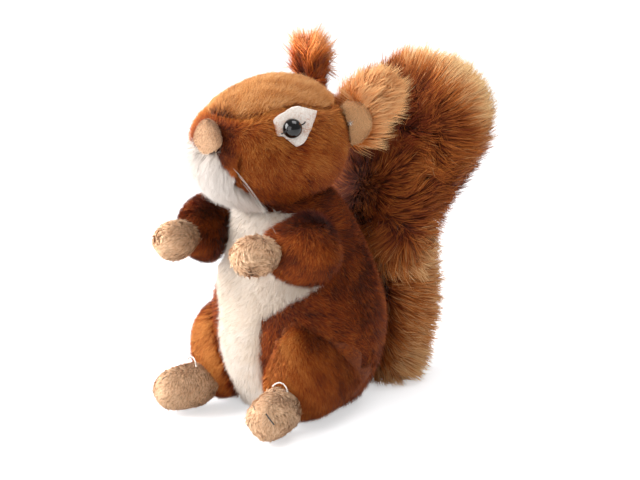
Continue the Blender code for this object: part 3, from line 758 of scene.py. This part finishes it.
# %% [markdown]
# The head is brushed from the nose backwards. The rust cheeks are sewn to the golden crown and to the
# white muzzle. The crown's pile is shorter and darker where it dips into the seam, and the muzzle's is
# longer at its edge, where it hides the seam. The head is turned by five degrees and tilted by two, so its
# own left, forward and up come first.

# %% Head, crown and muzzle pile
HEAD_TURN = math.radians(5)
HEAD_TILT = math.radians(2)
turned = Matrix.Rotation(-HEAD_TURN, 3, "Z") @ Matrix.Rotation(HEAD_TILT, 3, "Y")
HEAD_LEFT, HEAD_AHEAD, HEAD_UP = (np.array(turned @ Vector(v)) for v in ((1, 0, 0), (0, -1, 0), (0, 0, 1)))
SKULL = np.array((0, -0.012, 0.1215))


def constant(value):
    """A comb that brushes the same way everywhere."""
    return lambda roots, facing: np.tile(np.array(value, float), (len(roots), 1))


def fields_of(node, neighbours=(), reach=0.004, probe=0.0012, sewn_on=False, skip=()):
    """The open share and the seam nearness at each vertex of a cloth."""
    piece = cloths[node]
    return {"open": open_share(piece, node, probe, sewn_on, skip),
            "seam": seam_nearness(piece, neighbours, reach)}


def on_head(place):
    """A place from the skull's middle, as (left, forward, up) columns."""
    off = place - SKULL
    return off @ HEAD_LEFT, off @ HEAD_AHEAD, off @ HEAD_UP


NOSE_MIDDLE = np.array((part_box("nose")[0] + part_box("nose")[1]) / 2)


def by_nose(roots, start=0.0105, end=0.0155):
    """1 beside the nose, where the maker airbrushed the pile dark, and 0 further off."""
    return 1 - np.clip((np.linalg.norm(roots - NOSE_MIDDLE, axis=1) - start) / (end - start), 0, 1)


def cheek_tone_and_painted_light(roots, facing, there):
    """Paler where it faces up, as painted light from above, and at the brow; darker by the nose, and under
    the cheek as painted shade.
    """
    _, _, up = on_head(roots)
    # the facing term is painted light from above, and the last term is painted shade under the cheek
    return (0.58 + 0.10 * facing[:, 2] + 0.20 * there["brow"] - 0.48 * by_nose(roots)
            - 0.24 * np.clip(-up / 0.02, 0, 1))


def crown_tone(roots, facing, there):
    """Palest in front, darker in the seam's fold and by the nose."""
    _, ahead, _ = on_head(roots)
    return 0.76 - 0.34 * there["seam"] - 0.50 * by_nose(roots) + 0.06 * np.clip(ahead / 0.04, -0.2, 1)


felt = patterned("pressed_wool_felt_white", "ShaderNodeTexNoise", {"Scale": 1500.0, "Detail": 5.0},
                 [(0.25, "#d5c3b4"), (0.55, "#ece2d9"), (0.8, "#f6f0ea")], 0.8, 0.0003,
                 Roughness=0.9, Sheen_Weight=0.3, Sheen_Roughness=0.5)

# the edge of the felt round the eye, in millimetres: outwards and back across the cheek, and up
FELT_CORNERS = ((-9.0, 4.2), (-4.5, 7.0), (1.8, 9.3), (7.2, 8.6), (11.3, 7.5), (8.1, 1.4), (6.5, -2.8),
                (4.5, -6.5), (0.9, -7.9), (-1.8, -4.7), (-4.1, -2.6), (-8.1, -1.9))
FELT_EDGE = sorted((math.atan2(up, back), math.hypot(back, up) / 1000) for back, up in FELT_CORNERS)
FELT_VOXEL = 0.0004
FELT_SMOOTHING = 10
BROW_BELOW = 0.002
BROW_PULL = 0.40
FELT_SINK = 0.0016
FELT_OVER = 0.0010


def felt_patch(name):
    """The felt patch, its corners softened, its top drawn up to the brow, and sunk a little in the pile."""
    patch = remeshed(copy_of("eye_patch_" + name, "felt_patch_" + name), FELT_VOXEL, 0)
    places = points_of(patch)
    up = (places - places.mean(axis=0)) @ HEAD_UP
    places += HEAD_UP * (np.clip(up + BROW_BELOW, 0, None) * BROW_PULL)[:, None]
    middle = sum(box_of("eye_" + name)) / 2
    off = places - middle
    back = off @ unit((HEAD_LEFT * (1 if name == "L" else -1) - HEAD_AHEAD)[None, :])[0]
    up = off @ HEAD_UP
    edge = np.interp(np.arctan2(up, back), *zip(*FELT_EDGE), period=2 * math.pi)
    set_points(patch, middle + off * np.minimum(1.0, edge / np.maximum(np.hypot(back, up), 1e-6))[:, None])
    patch.modifiers.new("relax", "SMOOTH").iterations = FELT_SMOOTHING
    apply_all(patch)
    places = points_of(patch)
    set_points(patch, places - unit(places - SKULL) * FELT_SINK)
    bpy.ops.object.shade_smooth()
    patch.data.materials.append(felt)
    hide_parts("eye_patch_" + name)
    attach(patch, "root")
    return patch


felt_trees = [tree_on(felt_patch(name)) for name in ("L", "R")]


def clear_of_felt(piece):
    """For each vertex of a cloth, 0 where a felt patch lies over it and 1 elsewhere."""
    clear = np.ones(len(piece.data.vertices))
    for k, place in enumerate(points_of(piece)):
        for patch in felt_trees:
            if patch.find_nearest(Vector(place), FELT_OVER)[0] is not None:
                clear[k] = 0.0
    return clear


SEAM_REACH = 0.0014
HEAD_PROBE = 0.0026
HEAD_WIDE, HEAD_LEAN = 0.00026, 0.62
head_fields = fields_of("head", ("crown_panel", "muzzle"), SEAM_REACH, probe=HEAD_PROBE)
head_fields["brow"] = seam_nearness(cloths["head"], ("crown_panel",), 0.014)
head_fields["open"] *= clear_of_felt(cloths["head"])
cheek_comb = constant(-HEAD_AHEAD - HEAD_UP * 0.75)
grow("head", "head_pile", 88000, lambda roots, there: 0.0038 - 0.0006 * there["seam"], HEAD_WIDE,
     cheek_comb, HEAD_LEAN, cheek_tone_and_painted_light, 11, head_fields, rust_pile, "rust_pile")

crown_fields = fields_of("crown_panel", ("head",), 0.0080, probe=HEAD_PROBE)
crown_fields["open"] *= clear_of_felt(cloths["crown_panel"])
grow("crown_panel", "crown_pile", 42000,
     lambda roots, there: 0.0037 - 0.0012 * np.clip(there["seam"] * 6 - 5, 0, 1), HEAD_WIDE,
     constant(-HEAD_AHEAD + HEAD_UP * 0.25), HEAD_LEAN, crown_tone, 21, crown_fields, golden_pile,
     "golden_pile", calm=14)

# the top corners of the muzzle, near and far, that the cheeks lap over
CORNER_OUT, FAR_CORNER_OUT = 0.0080, 0.0160
CORNER_TOP, CORNER_SLOPE, CORNER_LOW = 0.0025, 0.75, -0.0050
muzzle_fields = fields_of("muzzle", ("head",), SEAM_REACH, probe=HEAD_PROBE, skip=("body", "belly_panel"))
left, _, up = on_head(points_of(cloths["muzzle"]))
past_corner = np.where(left > 0, left - CORNER_OUT, -left - FAR_CORNER_OUT)
under_cheek = (past_corner > (CORNER_TOP - up) * CORNER_SLOPE) & (up > CORNER_LOW)
corner_fields = dict(muzzle_fields, open=muzzle_fields["open"] * under_cheek, brow=np.zeros(len(up)))
muzzle_fields["open"] = muzzle_fields["open"] * ~under_cheek
muzzle_fields["edge"] = seam_nearness(cloths["muzzle"], ("head",), 0.0050)
grow("muzzle", "muzzle_pile", 26000, lambda roots, there: 0.0042 + 0.0014 * there["edge"], HEAD_WIDE,
     constant(-HEAD_AHEAD * 0.8 - HEAD_UP * 0.9), HEAD_LEAN,
     lambda roots, facing, there: 0.65 - 0.1 * there["seam"], 31, muzzle_fields, white_pile,
     "white_pile", calm=14)
grow("muzzle", "cheek_corner_pile", 5000, 0.0040, HEAD_WIDE, cheek_comb, HEAD_LEAN, cheek_tone_and_painted_light, 35,
     corner_fields, rust_pile, "rust_pile", calm=14)

# %% [markdown]
# The body, arms and thighs are the same rust plush. The body is brushed downwards, the arms towards the
# hands and the thighs towards the feet. The plush is darkest high on the body, and lightest on the front of
# the thighs, where light is painted on. Where the plush faces up it is painted a little paler, as light from
# above. The cream belly is a panel of its own, brushed down as well.

# %% Body, belly, arm and thigh pile
def body_tone_and_painted_light(roots, facing, there):
    """Darker higher up, with faint wide clouds, and paler where it faces up, as painted light from above."""
    low = np.clip((0.05 - roots[:, 2]) / 0.05, -1, 1)
    # the facing term is painted light from above
    return 0.27 + 0.07 * low + 0.06 * facing[:, 2] + drift(roots, 0.016, 44)[:, 1] * 0.03


def arm_tone(roots, facing, there):
    """The body's plush, a little paler."""
    return body_tone_and_painted_light(roots, facing, there) + 0.07


def thigh_tone_and_painted_light(roots, facing, there):
    """Paler on the front of the thighs, as painted light falling on them."""
    # the front term is painted light falling on the front of the thighs
    return body_tone_and_painted_light(roots, facing, there) + 0.06 + 0.36 * np.clip((-facing[:, 1] - 0.35) / 0.5, 0, 1)


SHORT, WIDE, LEAN = 0.0038, 0.00027, 0.65
body_fields = fields_of("body", ("belly_panel",), SEAM_REACH, probe=0.0030, sewn_on=True)
grow("body", "body_pile", 98000, SHORT, WIDE, constant((0, 0.25, -1)), LEAN, body_tone_and_painted_light, 41, body_fields,
     rust_pile, "rust_pile")
belly_fields = fields_of("belly_panel", ("body",), SEAM_REACH, probe=0.0030, skip=("head", "muzzle"))
grow("belly_panel", "belly_pile", 36000, 0.0037, WIDE, constant((0, 0, -1)), LEAN,
     lambda roots, facing, there: 0.50 + 0.35 * np.abs(roots[:, 2] - 0.05) / 0.04, 51,
     belly_fields, cream_pile, "cream_pile", lock=0.20, calm=10)
for name, side in SIDES:
    arm_fields = fields_of("arm_" + name, ("hand_" + name,), SEAM_REACH, probe=0.0018)
    grow("arm_" + name, "arm_pile_" + name, 28000, SHORT, WIDE, constant((0.15 * side, -0.8, -0.7)), LEAN,
         arm_tone, 61 + side, arm_fields, rust_pile, "rust_pile")
    thigh_fields = fields_of("haunch_" + name, ("foot_" + name,), SEAM_REACH, probe=0.0010)
    grow("haunch_" + name, "thigh_pile_" + name, 44000, SHORT, WIDE, constant((0, -0.45, -1)), LEAN,
         thigh_tone_and_painted_light, 71 + side, thigh_fields, rust_pile, "rust_pile")

# %% [markdown]
# The tail is long pile, mostly 7 to 14 mm, brushed outwards in two sweeps. The upper sweep fans out from the
# bend behind the neck, upwards into the plume and down over the lower tail, where its pale tips hang as a
# ledge. The lower sweep fans out from the small of the back. Both are darkest where they start, painted with
# the shade of the fold against the back, and palest at the rim, partly from pale tips and partly as painted
# light shining through them. Just under the ledge the pile is darker, as the ledge's painted shadow.

# %% Tail pile
UPPER_START = np.array((0.002, 0.045, 0.094))
LOWER_START = np.array((0.002, 0.030, 0.040))
LEDGE_HEIGHT = 0.056
LEDGE_BACK = 0.025
LEDGE_SLOPE = 0.48
LEDGE_BLEND = 0.004


def off_ledge(roots):
    """How far each place lies above the ledge where the upper sweep ends."""
    return roots[:, 2] - LEDGE_HEIGHT - LEDGE_SLOPE * (roots[:, 1] - LEDGE_BACK)


def above_ledge(roots):
    """1 well above the ledge, 0 well below it."""
    return np.clip(off_ledge(roots) / LEDGE_BLEND + 0.5, 0, 1)


def by_ledge(roots, reach, above):
    """1 at the ledge, falling to 0 at the reach above it, or below it."""
    off = off_ledge(roots) * (1 if above else -1)
    return np.where(off > 0, np.clip(1 - off / reach, 0, 1), 0)


def tail_comb(roots, facing):
    """Away from the start of the sweep that a place belongs to."""
    over = above_ledge(roots)[:, None]
    return unit(roots - UPPER_START) * over + unit(roots - LOWER_START) * (1 - over)


def tail_tone_and_painted_shade(roots, facing, there):
    """Dark where each sweep starts, as painted shade in the fold; pale at the rim, partly as painted light
    through the tips, and on the ledge's tips; darker again on the top, and just under the ledge as its
    painted shadow.
    """
    over = above_ledge(roots)
    upper = np.linalg.norm(roots - UPPER_START, axis=1)
    lower = np.linalg.norm(roots - LOWER_START, axis=1)
    # low values where the sweeps start are painted shade in the fold; the top values at the rim are partly
    # painted light through the tips
    sweep = over * np.interp(upper, [0.010, 0.030, 0.041, 0.048, 0.055], [0.10, 0.26, 0.34, 0.85, 1.3])
    sweep += (1 - over) * np.interp(lower, [0.010, 0.028, 0.042], [0.30, 0.55, 1.0])
    rising = unit(roots - UPPER_START)[:, 2]
    sweep -= 0.30 * over * np.clip((rising - 0.55) / 0.4, 0, 1)
    # the last term is the ledge's painted shadow on the pile below it
    return sweep + 0.45 * by_ledge(roots, 0.014, True) - 0.22 * by_ledge(roots, 0.007, False)


def tail_length(roots, there):
    """Longest in the plume and on the ledge, shortest in the fold and just under the ledge."""
    over = above_ledge(roots)
    upper = np.linalg.norm(roots - UPPER_START, axis=1)
    reach = over * np.interp(upper, [0.010, 0.030, 0.048, 0.060], [0.0070, 0.0120, 0.0140, 0.0130])
    reach += (1 - over) * 0.0110
    return reach + 0.003 * by_ledge(roots, 0.010, True) - 0.004 * by_ledge(roots, 0.006, False)


def matted(roots):
    """How far the pile is felted into curls: all of it in the fold by the upper sweep's start."""
    return np.interp(np.linalg.norm(roots - UPPER_START, axis=1), [0.020, 0.040], [1.3, 0.25])


tail_fields = {"open": open_share(cloths["tail"], "tail", 0.0015)}
grow("tail", "tail_pile", 64000, tail_length, 0.00036, tail_comb, 0.66, tail_tone_and_painted_shade, 81, tail_fields,
     tail_pile, "tail_pile", bend=0.30, jitter=0.22, swirl=matted, swirl_reach=0.006, per_lock=16,
     lock=0.45, steps=2, spread=0.30)

# %% [markdown]
# Each ear is a round of beige velour with a fan of long orange pile behind it. The fan spreads from the
# foot of the ear, upwards and backwards. It is rust at its foot and palest at its rim, and on the far ear
# the rust reaches further out, as a stalk.

# %% Ear tufts
EAR_OUT, EAR_BACK, EAR_UP = 0.0208, 0.020, 0.003
FAR_STALK = 0.018
# the length of the tuft's fibres at four distances from the ear's foot
TUFT_AT = [0.006, 0.012, 0.020, 0.028]
TUFT_REACH = {"L": [0.0080, 0.0140, 0.0130, 0.0110], "R": [0.0035, 0.0045, 0.0110, 0.0150]}
for name, side in SIDES:
    foot = SKULL + HEAD_LEFT * EAR_OUT * side - HEAD_AHEAD * EAR_BACK + HEAD_UP * EAR_UP

    def fan(roots, facing):
        return unit(roots - foot) + (HEAD_UP * 0.20 - HEAD_AHEAD * 0.35 + HEAD_LEFT * side * 0.15)

    def tuft_tone(roots, facing, there):
        far = np.linalg.norm(roots - foot, axis=1) - (FAR_STALK if side < 0 else 0.0)
        return np.interp(far, [0.003, 0.008, 0.013], [0.05, 0.64, 1.1])

    def tuft_length(roots, there):
        return np.interp(np.linalg.norm(roots - foot, axis=1), TUFT_AT, TUFT_REACH[name])

    ear_fields = {"open": open_share(cloths["ear_" + name], "ear_" + name, 0.0012)}
    grow("ear_" + name, "ear_tuft_" + name, 13000, tuft_length, 0.00034, fan, 0.95, tuft_tone, 91 + side,
         ear_fields, tuft_pile, "ear_pile", bend=0.2, jitter=0.22, swirl=0.20, per_lock=18, lock=0.60,
         steps=2, spread=0.30)

# %% [markdown]
# Hands, feet, nose and ear linings are cut from a velour whose short nap lies forwards and down. It has
# curled with handling, most of all on the hands and feet, where it also clumps in tiny knots.

# %% Velour nap
# how many fibres, how long, how wide, and how far they curl
NAPS = {"hand_L": (7000, 0.0023, 0.00034, 0.9), "hand_R": (7000, 0.0023, 0.00034, 0.9),
        "foot_L": (11000, 0.0018, 0.00032, 0.6), "foot_R": (11000, 0.0017, 0.00032, 0.5),
        "nose": (8000, 0.0009, 0.00020, 0.2), "inner_ear_L": (9000, 0.0012, 0.00020, 0.3),
        "inner_ear_R": (9000, 0.0012, 0.00020, 0.3)}


def nose_tone(roots, facing, there):
    """The nose is sprayed darker towards its sides and top."""
    return 0.72 - 0.75 * np.clip(np.abs(facing[:, 0]) * 0.8 + facing[:, 2] * 0.5 - 0.35, 0, 1)


def nap_tone_and_painted_light(node):
    """The shade of a piece's velour, paler where it faces up as painted light from above: the ear linings
    are the palest, as painted light against the head's shadow.
    """
    # the linings' higher level is painted light against the head's shadow, and the facing term is painted
    # light from above
    level = 0.95 if node.startswith("inner") else 0.74
    return nose_tone if node == "nose" else lambda roots, facing, there: level + 0.12 * facing[:, 2]


PAW_NAP = {"per_lock": 6, "softness": 0.7, "steps": 2, "mottle": 0.15}
FLAT_NAP = {"per_lock": 0, "softness": 0.5, "steps": 1, "mottle": 0.30}
for k, (node, (count, reach, wide, curl)) in enumerate(NAPS.items()):
    paw = node.startswith(("hand", "foot"))
    grow(node, node + "_nap", count, reach, wide, constant((0, -0.5, -1)), 1.20 if paw else 0.70,
         nap_tone_and_painted_light(node), 101 + 3 * k, {"open": open_share(cloths[node], node, 0.0020)},
         lining_nap if node.startswith("inner") else velour_nap, "velour", jitter=0.25, swirl=curl,
         swirl_reach=0.0040, lock=0.6, **(PAW_NAP if paw else FLAT_NAP))

# %% [markdown]
# The eye is a domed button of polished black plastic: a ball, cut off flat where it sits on the felt.

# %% Eyes
glossy_black, tree, shader = new_material("polished_black_acrylic", Base_Color=linear("#050404"), IOR=1.49)
place = add_node(tree, "ShaderNodeTexCoord")
haze = add_node(tree, "ShaderNodeTexNoise", links={"Vector": place.outputs["Object"]},
                Scale=700.0, Detail=2.0)
rough = add_node(tree, "ShaderNodeMapRange", links={"Value": haze.outputs["Fac"]}, To_Min=0.04, To_Max=0.09)
tree.links.new(rough.outputs[0], shader.inputs["Roughness"])
EYE_CUT = 0.35


def eye_dome(name, side):
    """A smooth domed button, cut off flat behind, where the solid eye is."""
    low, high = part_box("eye_" + name)
    radius = (high.z - low.z) / 2
    out = high.x - radius if side > 0 else low.x + radius
    middle = Vector((out, (low.y + high.y) / 2, (low.z + high.z) / 2))
    bpy.ops.object.select_all(action="DESELECT")
    bpy.ops.mesh.primitive_uv_sphere_add(segments=48, ring_count=24, radius=radius, location=middle)
    dome = bpy.context.object
    dome.name = "eye_dome_" + name
    bpy.ops.object.transform_apply(location=True, rotation=True, scale=True)
    bpy.ops.object.mode_set(mode="EDIT")
    bpy.ops.mesh.select_all(action="SELECT")
    front = Vector(HEAD_LEFT) * side
    bpy.ops.mesh.bisect(plane_co=middle - front * radius * EYE_CUT, plane_no=front, use_fill=True,
                        clear_inner=True)
    bpy.ops.object.mode_set(mode="OBJECT")
    bpy.ops.object.shade_smooth_by_angle(angle=math.radians(40))
    dome.data.materials.append(glossy_black)
    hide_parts("eye_" + name)
    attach(dome, "root")
    return middle, radius


eyes = {}
for name, side in SIDES:
    eyes[name] = eye_dome(name, side)
    print("eye", name, "radius in mm", round(eyes[name][1] * 1000, 2))

# %% [markdown]
# Threads are twisted cotton: two plies wound round each other, which show as slanting ridges a little under
# a millimetre apart. The toe stitches and the tacks are laid on the velour that they go through. The
# whiskers are clear nylon, thinner towards their tips.

# %% Threads and whiskers
def thread_material(name, dark, light):
    """Twisted cotton, its two plies as slanting bands."""
    return patterned(name, "ShaderNodeTexWave",
                     {"Scale": 420.0, "Distortion": 1.0, "bands_direction": "DIAGONAL"},
                     [(0.2, dark), (0.8, light)], 0.6, 0.0002,
                     Roughness=0.75, Sheen_Weight=0.2, Sheen_Roughness=0.4)


white_thread = thread_material("twisted_cotton_white", "#b9aea2", "#f4efe8")
black_thread = thread_material("twisted_cotton_black", "#0c0a0a", "#2c2826")
nylon = patterned("drawn_nylon_clear", "ShaderNodeTexNoise", {"Scale": 300.0},
                  [(0.3, "#b7b0a6"), (0.7, "#cfc9c0")], Roughness=0.2, IOR=1.53)


def tube(name, points, thick, look, taper=1.0):
    """A closed round tube through a few points, made a mesh; taper is its thickness at the far end."""
    curve = bpy.data.curves.new(name, "CURVE")
    curve.dimensions = "3D"
    line = curve.splines.new("POLY")
    line.points.add(len(points) - 1)
    for k, (spot, place) in enumerate(zip(line.points, points)):
        spot.co = (*place, 1.0)
        spot.radius = 1 + (taper - 1) * k / (len(points) - 1)
    curve.bevel_depth = thick / 2
    curve.bevel_resolution = 2
    curve.use_fill_caps = True
    piece = bpy.data.objects.new(name, curve)
    bpy.context.scene.collection.objects.link(piece)
    select_only(piece)
    bpy.ops.object.convert(target="MESH")
    piece = bpy.context.object
    piece.data.materials.clear()
    piece.data.materials.append(look)
    bpy.ops.object.shade_smooth()
    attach(piece, "root")
    return piece


def middle_line(node, corners=4):
    """The line through the middle of a thin solid tube, from its root to its tip."""
    spots = np.unique(np.round([v.co for v in solids[node].data.vertices], 7), axis=0)
    way = np.linalg.svd(spots - spots.mean(axis=0))[2][0]
    spots = spots[np.argsort(spots @ way)]
    starts = range(0, len(spots) - corners + 1, corners)
    rings = np.array([spots[k:k + corners].mean(axis=0) for k in starts])
    if np.linalg.norm(rings[0] - SKULL) > np.linalg.norm(rings[-1] - SKULL):
        rings = rings[::-1]
    return rings


def laid_on(node, host, rise, size, drop, turn):
    """A copy of a stitch, moved so that it lies on the velour of the piece it is sewn to."""
    stitch = copy_of(node, "laid_" + node)
    middle = points_of(stitch).mean(axis=0)
    off = points_of(stitch) - middle
    spot, way_out, _, _ = tree_on(cloths[host]).find_nearest(Vector(middle - np.array((0, 0, drop))))
    turned = off @ np.array(Matrix.Rotation(turn, 3, way_out)).T
    set_points(stitch, turned * size + np.array(spot + way_out * rise))
    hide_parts(node)
    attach(stitch, "root")
    return stitch


# how much of its length each toe stitch shows, how far down the toe it was sewn, and how far it is turned
TOE_STITCHES = {"L1": (1.0, 0.006, 1.2), "L2": (0.5, 0.002, 0.4), "R1": (0.45, 0.001, 0.0),
                "R2": (0.45, 0.001, 0.0)}
STITCH_RISE = 0.0020
WHISKER_THICK = 0.00015
EYE_STITCH_THICK = 0.0006
WHISKER_SHIFT = np.array((-0.0045, -0.0040, 0.0))
for node, solid in solids.items():
    if node.startswith("ankle_thread"):
        solid.data.materials.clear()
        solid.data.materials.append(white_thread)
    elif node.startswith("toe_stitch"):
        stitch = laid_on(node, "foot_" + node[-2], STITCH_RISE, *TOE_STITCHES[node[-2:]])
        stitch.data.materials.append(black_thread)
    elif node.startswith("whisker"):
        route = middle_line(node)
        aside = np.linspace(1, 0, len(route))[:, None] * WHISKER_SHIFT * (1 if "_L" in node else 0)
        whisker = tube("nylon_" + node, route + aside, WHISKER_THICK, nylon, taper=0.5)
        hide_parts(node)

# the tack in the ear: three short stitches that cross, pulled into the velour
TACK_SPAN = 0.0034
TACK_THICK = 0.00032
TACK_RISE, TACK_DIP = 0.0011, 0.0016
for name in ("L", "R"):
    spots = points_of(copy_of("ear_tack_" + name, "tack_guide_" + name))
    middle = spots.mean(axis=0)
    spot, way_out, _, _ = tree_on(cloths["inner_ear_" + name]).find_nearest(Vector(middle))
    way_out = np.array(way_out)
    bpy.data.objects.remove(bpy.data.objects["tack_guide_" + name])
    right = np.cross(way_out, (0.0, 0.0, 1.0))
    right /= np.linalg.norm(right)
    upward = np.cross(right, way_out)
    for k in range(3):
        turn = math.pi * (k / 3 + 0.1)
        way = right * math.cos(turn) + upward * math.sin(turn)
        ends = [np.array(spot) + way * TACK_SPAN * run + way_out * (TACK_RISE - TACK_DIP * (2 * run)**2)
                for run in (-0.5, -0.25, 0.0, 0.25, 0.5)]
        tube("ear_star_%s%d" % (name, k + 1), ends, TACK_THICK, white_thread)
    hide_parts("ear_tack_" + name)

# black stitches at both corners of each eye: forward and up at one end, then at the other
EYE_CORNERS = ((0.0068, -0.0012, 0.0036, 0.0002), (-0.0062, 0.0022, -0.0038, 0.0012))
for name, side in SIDES:
    middle, radius = eyes[name]
    for k, (far, low, near, high) in enumerate(EYE_CORNERS):
        points = []
        for run in (0.0, 0.33, 0.67, 1.0):
            off = HEAD_AHEAD * (far + (near - far) * run) + HEAD_UP * (low + (high - low) * run)
            rise = 0.0010 + 0.0006 * math.sin(math.pi * run)
            points.append(np.array(middle) + off + HEAD_LEFT * side * rise)
        stitch = tube("eye_stitch_%s%d" % (name, k + 1), points, EYE_STITCH_THICK, black_thread)
